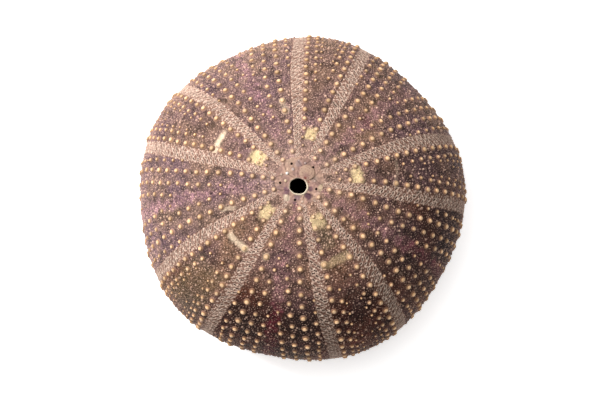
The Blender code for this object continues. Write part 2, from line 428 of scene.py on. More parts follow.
# ---- gathering of mesh parts ---------------------------------------------------
class Heap:
    """Gathers grids and knobs and makes one mesh piece of them."""

    def __init__(self):
        self.co, self.tint, self.uv, self.quads, self.tris = [], [], [], [], []
        self.count = 0

    def add(self, co, tint, uv, quads=None, tris=None):
        co = co.reshape(-1, 3)
        self.co.append(co)
        self.tint.append(tint.reshape(-1, 4))
        self.uv.append(uv.reshape(-1, 2))
        if quads is not None:
            self.quads.append(quads.reshape(-1, 4) + self.count)
        if tris is not None:
            self.tris.append(tris.reshape(-1, 3) + self.count)
        self.count += len(co)

    def grid(self, co, tint, uv_box, closed=False):
        """Rows run down the shell and columns to the right of it."""
        rows, cols = co.shape[:2]
        i, j = np.meshgrid(np.arange(rows - 1), np.arange(cols - 1), indexing="ij")
        a = i * cols + j
        quads = np.stack([a, a + 1, a + cols + 1, a + cols], -1)
        u0, u1, v0, v1 = uv_box
        u = np.linspace(u0, u1, cols)[None, :] + np.zeros((rows, 1))
        step = np.linalg.norm(np.diff(co[:, cols // 2], axis=0), axis=-1)
        run = np.r_[0.0, np.cumsum(np.maximum(step, 0.03))]
        v = v1 - (v1 - v0) * (run / run[-1])[:, None] + np.zeros((1, cols))
        self.add(co, tint, np.stack([u, v], -1), quads)

    def tri_count(self):
        return 2 * sum(len(q) for q in self.quads) + sum(len(t) for t in self.tris)

    def build(self, name, material):
        co = np.concatenate(self.co) * MM
        tint = np.concatenate(self.tint)
        uv = np.concatenate(self.uv)
        quads = np.concatenate(self.quads) if self.quads else np.zeros((0, 4), int)
        tris = np.concatenate(self.tris) if self.tris else np.zeros((0, 3), int)
        loops = np.r_[quads.ravel(), tris.ravel()].astype(np.int32)
        start = np.r_[
            np.arange(len(quads)) * 4, len(quads) * 4 + np.arange(len(tris)) * 3
        ].astype(np.int32)
        mesh = bpy.data.meshes.new(name)
        mesh.vertices.add(len(co))
        mesh.vertices.foreach_set("co", co.astype(np.float32).ravel())
        mesh.loops.add(len(loops))
        mesh.loops.foreach_set("vertex_index", loops)
        mesh.polygons.add(len(start))
        mesh.polygons.foreach_set("loop_start", start)
        mesh.update(calc_edges=True)
        layer = mesh.uv_layers.new(name="OFBake")
        layer.uv.foreach_set("vector", uv[loops].astype(np.float32).ravel())
        col = mesh.color_attributes.new("tint", "FLOAT_COLOR", "POINT")
        col.data.foreach_set("color", tint.astype(np.float32).ravel())
        mesh.validate()
        mesh.shade_smooth()
        mesh.materials.append(material)
        ob = bpy.data.objects.new(name, mesh)
        bpy.context.scene.collection.objects.link(ob)
        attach(ob, "root")
        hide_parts("shell")
        return ob


def rgba(col, alpha):
    a = np.broadcast_to(np.asarray(alpha, float), col.shape[:-1])
    return np.concatenate([np.clip(col, 0.0, 1.0), a[..., None]], -1)


# ---- plates --------------------------------------------------------------------
PLATE_ROWS = [0.0, 0.055, 0.28, 0.5, 0.72, 0.945]
TOP_ARC = np.interp(DISC_R - 0.45, ARC_R[: len(ARC_R) // 2], ARC[: len(ARC) // 2])


def plate_half(heap, kind, k, side, cols, uv_box):
    """One column of plates, from the median suture to the pore band."""
    first = math.floor(float(plate_no(kind, k, side, TOP_ARC)) + 0.5)
    last = math.ceil(float(plate_no(kind, k, side, END)) + 0.5)
    no = np.array([n + f - 0.5 for n in range(first, last + 1) for f in PLATE_ROWS])
    s = plate_arc(kind, k, side, no)
    keep = (s > TOP_ARC + 0.12) & (s < END - 0.12)
    no, s = np.r_[no[keep][0], no[keep], no[keep][-1]], np.r_[TOP_ARC, s[keep], END]
    edge = area_edge(kind, k, side, s)
    # the median suture zigzags, as the two columns interlock
    zig_full = 0.55 if kind == "I" else 0.30
    zig = np.minimum(zig_full, 0.12 * edge) * np.cos(2 * np.pi * no) * side
    zig *= smooth(s, 6.0, 12.0)
    inner = zig - side * 0.0
    u = np.linspace(0.0, 1.0, cols)
    lat = inner[:, None] * (1 - u) + side * edge[:, None] * u
    over = 0.26
    lat = np.concatenate(
        [inner[:, None] - side * over, lat, side * (edge[:, None] + over)], 1
    )
    S = np.repeat(s[:, None], cols + 2, 1)
    # plates bow a little, and their sutures run up towards the middle
    lean = (0.15 if kind == "I" else 0.10) * (0.71 * edge[:, None] - np.abs(lat))
    S = S + np.where(
        (S > TOP_ARC + 0.5) & (S < END - 1.0), -lean * smooth(S, 6, 12) * (1 - smooth(S, 84, END - 1)), 0.0
    )
    S = np.clip(S, TOP_ARC, END)
    S[0], S[-1] = TOP_ARC, END
    off = np.abs(no - np.round(no - 0.5) - 0.5)  # 0 at a suture
    groove = np.exp(-((off / 0.03) ** 2))[:, None]
    h = -0.05 * groove + 0.035 * np.cos(np.pi * 2 * no)[:, None] * np.ones_like(S)
    h = h * smooth(S, 6.5, 9.0)
    phi = to_phi(kind, k, S, lat)
    p0 = skin(S, phi)
    h = h + 0.05 * (noise(p0, 1.3, 51) - 0.5) + 0.03 * (noise(p0, 0.6, 52) - 0.5)
    d_edge = side * (side * edge[:, None] - lat)
    d_mid = side * (lat - inner[:, None])
    h = h - 0.045 * (1 - smooth(np.abs(d_mid), 0.0, 0.28)) - 0.02 * (1 - smooth(np.abs(d_edge), 0.0, 0.3))
    h[:, 0] = -0.16
    h[:, -1] = -0.14
    h = h - 0.12 * (1 - smooth(S, TOP_ARC, TOP_ARC + 0.5))
    co = lifted(S, phi, h)
    col = ground(kind, k, S, lat, edge[:, None], p0)
    stain = np.maximum(groove * 0.22 * smooth(S, 8, 12), 0.16 * (1 - smooth(np.abs(d_mid), 0.0, 0.3)))
    col = col * (1.0 - stain)[..., None]
    if side < 0:
        co, col = co[:, ::-1], col[:, ::-1]
    plain = 1.0 - 0.62 * mark_cover(kind, k, S, lat)
    heap.grid(co, rgba(col, plain[:, ::-1] if side < 0 else plain), uv_box)


# ---- pore bands ------------------------------------------------------------------
# the five pore pairs of one plate: mm from the band's inner edge, mm down the plate
PAIRS = [(2.60, 0.36), (2.58, 1.74), (1.62, 0.98), (1.60, 2.34), (0.66, 1.58)]
PAIR_TILT = math.radians(-26.0)
BEADS = [
    (1.12, 0.22, 0.25), (1.12, 1.60, 0.27), (2.10, 0.62, 0.25), (2.12, 1.98, 0.27),
    (0.12, 0.95, 0.22), (0.16, 2.30, 0.24), (3.08, 1.08, 0.22), (3.10, 2.45, 0.22),
    (0.62, 0.55, 0.20), (0.70, 2.62, 0.18), (2.62, 1.06, 0.16), (1.62, 0.30, 0.15),
]
BAND_W, PLATE_L = 3.3, 2.75

BAND_ROWS = np.r_[
    np.arange(TOP_ARC, 58.0, 0.14), np.arange(58.0, END - 0.1, 0.22), END
]
PORE_SKIN = lin(206, 168, 150)
PORE_PALE = lin(255, 229, 208)
PORE_GAP = lin(134, 98, 84)
# painted shade: the pore holes are shallow dents painted near black for the dark inside of the shell
PORE_HOLE = lin(44, 28, 24)


def pore_band(heap, k, side, cols, uv_box):
    s = BAND_ROWS
    inner, outer = band(k, side, s)
    w = outer - inner
    u = np.linspace(0.0, 1.0, cols)
    x = u[None, :] * w[:, None]
    x = np.concatenate([np.full((len(s), 1), -0.26), x, w[:, None] + 0.26], 1)
    S = np.repeat(s[:, None], cols + 2, 1)
    lat = side * (inner[:, None] + x)
    phi = to_phi("A", k, S, lat)
    p0 = skin(S, phi)
    U = x / w[:, None] * BAND_W
    no = plate_no("A", k, side, s)[:, None] + 0.5
    base = np.floor(no)
    h = 0.03 * (noise(p0, 0.7, 61) - 0.5)
    pale = np.zeros_like(S)
    gap = np.ones_like(S)
    hole = np.zeros_like(S)
    tag = 2 * k + (side > 0)
    for step in (-1, 0, 1):
        m = base + step
        V = (no - m) * PLATE_L
        for q, (uc, vc) in enumerate(PAIRS):
            du = uc + 0.30 * (chance(m, q, tag, 71) - 0.5)
            dv = vc + 0.34 * (chance(m, q, tag, 72) - 0.5)
            tilt = PAIR_TILT + 1.1 * (chance(m, q, tag, 73) - 0.5)
            grow = 0.84 + 0.32 * chance(m, q, tag, 74)
            a, b = (U - du) / grow, (V - dv) / grow
            c, n = np.cos(tilt), np.sin(tilt)
            xa, ya = a * c + b * n, -a * n + b * c
            d = np.sqrt((xa / 0.43) ** 2 + (ya / 0.30) ** 2)
            ring = np.exp(-(((d - 1.0) / 0.27) ** 2))
            h += 0.085 * ring - 0.02 * (1 - smooth(d, 0.5, 0.9))
            pale = np.maximum(pale, 0.85 * ring)
            gap = np.minimum(gap, smooth(d, 1.0, 1.5))
            for o in (-0.215, 0.215):
                dp = np.hypot(xa - o, ya)
                deep = 1.0 - smooth(dp, 0.10, 0.25)
                h -= 0.26 * deep
                hole = np.maximum(hole, deep)
        for q, (uc, vc, rr) in enumerate(BEADS):
            du = uc + 0.30 * (chance(m, q, tag, 75) - 0.5)
            dv = vc + 0.34 * (chance(m, q, tag, 76) - 0.5)
            size = rr * (0.75 + 0.60 * chance(m, q, tag, 77))
            d = np.hypot(U - du, V - dv) / size
            lump = 1.0 - smooth(d, 0.15, 1.1)
            h += 0.13 * lump * (rr / 0.25)
            pale = np.maximum(pale, lump)
            gap = np.minimum(gap, smooth(d, 0.9, 1.4))
    edge = np.minimum(x, w[:, None] - x)
    h = h - 0.04 * (1 - smooth(edge, 0.0, 0.25))
    h = h * smooth(S, TOP_ARC, 8.0)
    h[:, 0] = h[:, -1] = -0.16
    h = h - 0.12 * (1 - smooth(S, TOP_ARC, TOP_ARC + 0.5))
    co = lifted(S, phi, h)
    deep_tone, pale_tone = band_tone(k, side, S)
    wide = noise(p0, 5.0, 62)
    col = np.broadcast_to(PORE_SKIN, S.shape + (3,)) * (0.86 + 0.28 * wide)[..., None]
    col = mix(col, np.broadcast_to(PORE_GAP, col.shape), 0.85 * gap) * deep_tone
    lit = np.broadcast_to(PORE_PALE, col.shape) * pale_tone[..., None]
    col = mix(col, lit, 0.84 * pale * (0.55 + 0.8 * noise(p0, 0.8, 63)).clip(0, 1.15))
    # painted shade in the pore holes
    col = mix(col, np.broadcast_to(PORE_HOLE, col.shape), hole)
    col = col * (0.84 + 0.32 * noise(p0, 0.5, 64))[..., None]
    # painted light: the bands of sectors 1 and 2, towards the key lamp, are painted lighter towards the ambitus for
    # light wrapped round from the white floor; partly the paler ambitus of the shell
    rim = smooth(S, 38.0, 50.0) * (0.0, 0.08, 0.14, 0.0, 0.0)[k]
    col = col * (1.04 + rim)[..., None] * EXPO
    if side < 0:
        co, col = co[:, ::-1], col[:, ::-1]
    heap.grid(co, rgba(col, 0.35), uv_box)


def band_tone(k, side, s):
    """The bands take a little of the tone beside them."""
    a = darkness("A", k, s)
    b = darkness("I", k if side < 0 else (k + 4) % 5, s)
    dim = np.clip(0.6 * a + 0.6 * b, 0.0, 1.0)
    brown = np.array([1.0, 0.90, 0.84])
    deep = (1.0 - 0.62 * dim)[..., None] * (1 - dim[..., None] + brown * dim[..., None])
    return deep, 1.0 - 0.20 * dim


# ---- knobs and grains ---------------------------------------------------------------
KNOB_TIP = lin(236, 198, 158)
KNOB_SIDE = lin(206, 160, 112)
KNOB_NECK = lin(142, 98, 62)
KNOB_BOSS = lin(160, 122, 94)
# ring by ring: radius and height as shares, colour (0 ground, 1 boss, 2 neck, 3 side, 4 tip); the dark neck is painted
# shade under the ball, the pale tip partly the knob's own colour and partly a painted highlight
KNOB_BIG = [
    (1.40, -0.14, 0), (1.20, 0.06, 0.6), (1.00, 0.26, 1), (0.82, 0.40, 1),
    (0.70, 0.46, 2), (0.76, 0.64, 3), (0.62, 0.85, 3.5), (0.34, 0.97, 4),
]
KNOB_SMALL = [
    (1.18, -0.16, 0), (0.96, 0.16, 1), (0.72, 0.48, 2), (0.70, 0.70, 3), (0.40, 0.94, 4),
]
GRAIN = [(1.12, -0.35, 0), (0.80, 0.60, 1)]
SPECK = [(1.25, -0.20, 0.7)]

rng = np.random.default_rng(20451)


def knob_columns():
    """Every knob: kind, area, arc, across, radius, height, pale (0 to 1)."""
    out = []

    def put(kind, k, s, lat, size, tall, pale=0.0):
        out.append((kind, k, s, lat, size, tall, pale))

    for k in range(5):
        for side in (-1, 1):
            shift = (-0.20, 0.03, 0.42, 0.20, -0.15)[k]
            turn = (-0.10, -0.20, 0.20, 0.35, -0.10)[k]
            n0 = math.ceil(float(plate_no("I", k, side, TOP_ARC + 0.35)))
            n1 = math.floor(float(plate_no("I", k, side, END - 1.1)))
            for n in range(n0, n1 + 1):
                s = float(plate_arc("I", k, side, n))
                half = float(plain_edge(k, side, s))
                pitch = float(plate_arc("I", k, side, n + 0.5) - plate_arc("I", k, side, n - 0.5))
                fit = min(1.0, pitch / 2.5)
                share = float(np.interp(s, [6, 12, 22], [0.78, 0.72, 0.68]))
                main = share * half
                sh = shift * float(smooth(s, 8, 16)) * float(1 - smooth(s, 60, 75))
                young = float(1 - smooth(s, 7, 15))
                size = 0.73 * fit * (1.0 - 0.06 * young)
                put("I", k, s, side * main + sh, size, 1.0 * fit, 0.7 * young)
                inward = main
                for col in (1, 2, 3):
                    inward -= 3.25 * (1.0 if s < 60 else max(fit, 0.78))
                    if inward < 0.85:
                        break
                    grown = float(smooth(inward, 0.6, 3.0))
                    size = (0.44 + 0.20 * grown) * fit
                    up = 0.15 * (main - inward)
                    put("I", k, s - up, side * inward + sh, size, (0.55 + 0.25 * grown) * fit)
                if s > 30.5:
                    lat = min(main + 2.55, half - 0.62)
                    if lat - main > 1.45:
                        grown = float(smooth(s, 30, 38))
                        put("I", k, s - 0.5 * pitch, side * lat + sh * 0.3, (0.40 + 0.16 * grown) * fit, (0.5 + 0.28 * grown) * fit)
                    if s > 44 and half - lat > 0.5 and s < 76:
                        put("I", k, s, side * min(lat + 0.25, half - 0.45), 0.34 * fit, 0.45 * fit)
            n0 = math.ceil(float(plate_no("A", k, side, 8.8)))
            n1 = math.floor(float(plate_no("A", k, side, END - 1.1)))
            for n in range(n0, n1 + 1):
                s = float(plate_arc("A", k, side, n))
                edge = float(band(k, side, s)[0])
                pitch = float(plate_arc("A", k, side, n + 0.5) - plate_arc("A", k, side, n - 0.5))
                fit = min(1.0, pitch / 2.3)
                main = edge - 0.68
                if main < 0.35:
                    continue
                grown = float(smooth(s, 8, 19))
                put("A", k, s, side * main + turn, (0.48 + 0.22 * grown) * fit, (0.62 + 0.34 * grown) * fit, 0.5 * (1 - grown))
                lat = main
                for col, (across, up, since) in enumerate(((2.2, -0.95, 24.5), (1.45, 1.15, 33.0), (1.5, -1.0, 41.0))):
                    lat -= across
                    if s < since or lat < 0.45:
                        break
                    g = float(smooth(s, since, since + 8))
                    if s > 62 and col > 1:
                        break
                    put("A", k, s - up * fit, side * lat + turn, ((0.56, 0.42, 0.36)[col] * (0.8 + 0.2 * g)) * fit, ((0.8, 0.5, 0.42)[col]) * fit)
    return out


def dedupe(knobs):
    """Nudges nothing: drops a smaller knob that would sit on a larger one."""
    pts = [skin(np.array(q[2]), to_phi(q[0], q[1], np.array(q[2]), np.array(q[3]))) for q in knobs]
    order = sorted(range(len(knobs)), key=lambda i: -knobs[i][4])
    tree, kept, spots = None, [], []
    cell = {}
    for i in order:
        p = pts[i]
        key = tuple(int(c // 3.0) for c in p)
        ok = True
        for dx in (-1, 0, 1):
            for dy in (-1, 0, 1):
                for dz in (-1, 0, 1):
                    for j in cell.get((key[0] + dx, key[1] + dy, key[2] + dz), ()):
                        gapw = 0.86 * (knobs[i][4] + knobs[j][4])
                        if np.linalg.norm(p - pts[j]) < gapw:
                            ok = False
        if ok:
            cell.setdefault(key, []).append(i)
            kept.append(i)
    return [knobs[i] for i in sorted(kept)]


def stamp(heap, kind_profile, seg, s, phi, size, tall, cols, alpha, lean, uv_first, uv_side):
    """Adds one small turned form at each place."""
    n = len(s)
    if not n:
        return
    p, out, down, along = axes(s, phi)
    tilt = lean[:, :1] * down + lean[:, 1:] * along
    up = out + tilt
    up /= np.linalg.norm(up, axis=-1, keepdims=True)
    th = np.linspace(0.0, 2.0 * np.pi, seg, endpoint=False)
    rings = len(kind_profile)
    co = np.zeros((n, rings * seg + 1, 3))
    tint = np.zeros((n, rings * seg + 1, 4))
    uv = np.zeros((n, rings * seg + 1, 2))
    cell = 1.0 / uv_side
    idx = uv_first + np.arange(n)
    cu, cv = (idx % uv_side + 0.5) * cell, (idx // uv_side + 0.5) * cell
    oval = 1.0 + 0.10 * (rng.random(n) - 0.5)
    spin = rng.random(n) * 2.0 * np.pi
    for i, (rr, hh, shade) in enumerate(kind_profile):
        a = th[None, :] + spin[:, None] * 0.0
        bump = 1.0 + 0.05 * (rng.random((n, seg)) - 0.5)
        rad = size[:, None] * rr * bump
        ca, sa = np.cos(a) * rad * oval[:, None], np.sin(a) * rad / oval[:, None]
        height = tall * hh if hh > 0 else np.full(n, hh * 0.8)
        block = (
            p[:, None, :]
            + down[:, None, :] * ca[..., None]
            + along[:, None, :] * sa[..., None]
            + (up * height[:, None])[:, None, :]
        )
        sl = slice(i * seg, (i + 1) * seg)
        co[:, sl] = block
        lo, f = int(min(shade, len(cols) - 1)), shade - int(shade)
        c = cols[lo] * (1 - f) + (cols[min(lo + 1, len(cols) - 1)]) * f
        tint[:, sl, :3] = c[:, None, :]
        ruv = 0.46 * cell * (1.0 - i / rings * 0.86)
        uv[:, sl, 0] = cu[:, None] + ruv * np.cos(th)[None, :]
        uv[:, sl, 1] = cv[:, None] + ruv * np.sin(th)[None, :]
    co[:, -1] = p + up * (tall * 1.0)[:, None]
    tint[:, -1, :3] = cols[-1]
    tint[:, :, 3] = alpha
    uv[:, -1, 0], uv[:, -1, 1] = cu, cv
    co[..., 2] = np.maximum(co[..., 2], 0.0)
    tint[..., :3] = np.clip(tint[..., :3], 0.0, 1.0)
    per = rings * seg + 1
    first = np.arange(n)[:, None] * per
    quads = []
    j = np.arange(seg)
    jn = (j + 1) % seg
    for i in range(rings - 1):
        quads.append(np.stack([i * seg + j, i * seg + jn, (i + 1) * seg + jn, (i + 1) * seg + j], -1))
    tris = np.stack([(rings - 1) * seg + j, (rings - 1) * seg + jn, np.full(seg, per - 1)], -1)
    tris = (first[:, :, None] + tris[None]).reshape(-1, 3)
    if quads:
        q = np.concatenate(quads)
        quads = (first[:, :, None] + q[None]).reshape(-1, 4)
        heap.add(co, tint, uv, quads, tris)
    else:
        heap.add(co, tint, uv, None, tris)


ALL_KNOBS = dedupe(knob_columns())
KNOB_SPOTS = KDTree(len(ALL_KNOBS))
for _i, _q in enumerate(ALL_KNOBS):
    KNOB_SPOTS.insert(
        Vector(skin(np.array(_q[2]), to_phi(_q[0], _q[1], np.array(_q[2]), np.array(_q[3])))), _i
    )
KNOB_SPOTS.balance()


def grains(k):
    """Grains between the knobs of one sector: arc, phi, radius, kind, across."""
    out = []
    for kind in ("A", "I"):
        for side in (-1, 1):
            s = TOP_ARC + 0.4
            row = 0
            while s < END - 0.5:
                step = 0.64 if s < 58 else 0.85
                edge = float(area_edge(kind, k, side, s))
                count = int(edge / step)
                for c in range(count + 1):
                    lat = (c + (0.25 if row % 2 else 0.75)) * step
                    if lat > edge + 0.25:
                        continue
                    a = lat + 0.5 * step * (rng.random() - 0.5) * 1.3
                    b = s + 0.5 * step * (rng.random() - 0.5) * 1.3
                    if rng.random() < 0.08:
                        continue
                    out.append((kind, side, b, min(max(a, 0.05), edge + 0.28)))
                s += step * 0.92
                row += 1
    kinds = np.array([q[0] for q in out])
    sides = np.array([q[1] for q in out])
    s = np.array([q[2] for q in out])
    lat = np.array([q[1] * q[3] for q in out])
    phi = np.where(
        kinds == "I", to_phi("I", k, s, lat), to_phi("A", k, s, lat)
    )
    pick = rng.random(len(s))
    size = 0.15 + 0.08 * rng.random(len(s)) + 0.06 * (pick > 0.75) + 0.10 * (pick > 0.95)
    p = skin(s, phi)
    keep = np.ones(len(s), bool)
    for i, q in enumerate(p):
        for _, j, dist in KNOB_SPOTS.find_n(Vector(q), 2):
            if dist < ALL_KNOBS[j][4] * 1.06 + size[i] * 0.85:
                keep[i] = False
    return kinds[keep], s[keep], lat[keep], phi[keep], size[keep], p[keep]


def relief(k, heap):
    """Knobs and grains of sector k in one piece."""
    mine = [q for q in ALL_KNOBS if q[1] == k]
    gk, gs, gl, gp, gsize, gpos = grains(k)
    total = len(mine) + len(gs)
    uv_side = math.ceil(math.sqrt(total))
    big = [q for q in mine if q[4] > 0.52]
    small = [q for q in mine if q[4] <= 0.52]
    first = 0
    for group, profile, seg in ((big, KNOB_BIG, 10), (small, KNOB_SMALL, 8)):
        kinds = [q[0] for q in group]
        s = np.array([q[2] for q in group]) + 0.16 * (rng.random(len(group)) - 0.5)
        lat = np.array([q[3] for q in group]) + 0.16 * (rng.random(len(group)) - 0.5)
        size = np.array([q[4] for q in group]) * (0.95 + 0.12 * rng.random(len(group)))
        tall = np.array([q[5] for q in group]) * 0.645 * (0.94 + 0.06 * rng.random(len(group)))
        pale = np.array([q[6] for q in group])
        phi = np.array([float(to_phi(kd, k, a, b)) for kd, a, b in zip(kinds, s, lat)])
        p = skin(s, phi)
        under = np.zeros((len(group), 3))
        cover = np.zeros(len(group))
        for kd in ("A", "I"):
            m = np.array([q == kd for q in kinds])
            if m.any():
                half = area_edge(kd, k, 1, s[m])
                under[m] = ground(kd, k, s[m], lat[m], half, p[m])
                cover[m] = mark_cover(kd, k, s[m], lat[m])
        vary = (0.76 + 0.46 * rng.random(len(group)))[:, None]
        warm = rng.random(len(group))[:, None]
        tip = (KNOB_TIP * (1 - 0.35 * warm) + lin(224, 176, 122) * 0.35 * warm) * vary
        side_c = (KNOB_SIDE * (1 - 0.4 * warm) + lin(178, 126, 74) * 0.4 * warm) * vary
        boss = KNOB_BOSS * vary
        neck = KNOB_NECK * vary
        old = smooth(s, 60, 80)[:, None]
        tip = tip * (1 - 0.4 * old) + lin(216, 198, 166) * 0.4 * old
        rosy = pale[:, None]
        tip = tip * (1 - 0.55 * rosy) + lin(240, 206, 180) * 0.55 * rosy
        side_c = side_c * (1 - 0.6 * rosy) + lin(216, 178, 154) * 0.6 * rosy
        boss = boss * (1 - 0.5 * rosy) + lin(196, 162, 142) * 0.5 * rosy
        cov = cover[:, None] * 0.6
        boss = boss * (1 - cov) + CREAM * cov
        side_c = side_c * (1 - 0.5 * cov) + CREAM * 0.5 * cov
        # the boss takes some of the plate's tone round it
        boss_l = 0.60 * boss * EXPO + 0.40 * under * 1.1
        # the neck, darkened further, is painted shade under the ball; the pale tip is partly the knob's colour and
        # partly painted highlight
        cols = [under * 0.95, boss_l, neck * EXPO * 0.75 + 0.15 * under, side_c * EXPO, tip * EXPO]
        lean = 0.10 * (rng.random((len(group), 2)) - 0.5)
        stamp(heap, profile, seg, s, phi, size, tall, cols, 0.25, lean, first, uv_side)
        first += len(group)
    under = np.zeros((len(gs), 3))
    for kd in ("A", "I"):
        m = gk == kd
        under[m] = ground(kd, k, gs[m], gl[m], area_edge(kd, k, 1, gs[m]), gpos[m])
    lum = rng.random(len(gs))[:, None]
    pale = lin(204, 168, 146) * (0.30 + 1.05 * lum ** 1.3)
    dark = np.clip(1 - under.mean(1, keepdims=True) / (0.17 * EXPO), 0, 1)
    grain_col = pale * EXPO * (1 - 0.40 * dark)
    grain_col = 0.70 * grain_col + 0.45 * under
    tall = gsize * (0.85 + 0.3 * rng.random(len(gs)))
    tall = np.minimum(tall * 0.95, 0.42)
    lean = 0.2 * (rng.random((len(gs), 2)) - 0.5)
    big = gsize > 0.27
    for pick, profile, seg in ((big, GRAIN, 6), (~big, SPECK, 5)):
        cols = [under[pick], grain_col[pick], grain_col[pick] * 1.12]
        stamp(heap, profile, seg, gs[pick], gp[pick], gsize[pick], tall[pick], cols, 0.3, lean[pick], first, uv_side)
        first += int(pick.sum())


# ---- the plates round the upper opening ----------------------------------------------
GONOPORES = [(2.70, 3.90), (-2.66, 3.78), (-4.46, -1.42), (-0.08, -4.86), (4.50, -1.24)]
SIEVE = (1.42, 2.32, 2.02)
TOP_BEADS = [  # x, y, radius, height, colour
    (-3.30, 1.22, 0.42, 0.34, lin(255, 248, 238)),
    (-3.32, -0.66, 0.40, 0.26, lin(232, 204, 168)),
    (-2.10, 2.50, 0.45, 0.22, lin(196, 172, 164)),
    (0.55, 4.55, 0.30, 0.14, lin(190, 166, 160)),
    (3.75, 0.60, 0.30, 0.14, lin(186, 158, 146)),
    (1.70, -4.95, 0.34, 0.18, lin(206, 178, 160)),
    (-4.60, 0.70, 0.34, 0.16, lin(196, 168, 150)),
    (-1.10, 4.90, 0.26, 0.12, lin(180, 156, 150)),
]
TOP_STAINS = [  # x, y, reach, colour, strength
    (2.80, -3.35, 1.15, lin(104, 66, 78), 0.95),
    (-2.55, -3.05, 1.15, lin(120, 82, 96), 0.85),
    (3.00, -1.50, 0.80, lin(108, 72, 84), 0.80),
    (0.35, -4.15, 1.00, lin(134, 108, 116), 0.65),
    (1.20, 0.95, 0.42, lin(126, 48, 40), 0.90),
    (2.30, 0.10, 0.40, lin(120, 56, 44), 0.85),
    (0.10, 1.15, 0.45, lin(170, 104, 100), 0.60),
    (-2.30, -4.80, 1.00, lin(236, 214, 184), 0.75),
    (5.30, -0.60, 0.95, lin(226, 200, 164), 0.65),
    (5.10, -2.70, 0.80, lin(222, 184, 164), 0.70),
    (1.60, -5.90, 0.70, lin(216, 188, 178), 0.65),
    (0.10, -5.90, 0.90, lin(122, 84, 92), 0.80),
    (-1.20, 3.90, 1.10, lin(150, 132, 136), 0.50),
    (3.60, 1.20, 1.10, lin(146, 128, 120), 0.45),
    (-4.60, -2.40, 0.90, lin(150, 122, 118), 0.45),
    (-3.60, 4.20, 1.10, lin(190, 160, 138), 0.45),
    (0.10, 5.60, 0.90, lin(156, 124, 106), 0.55),
]


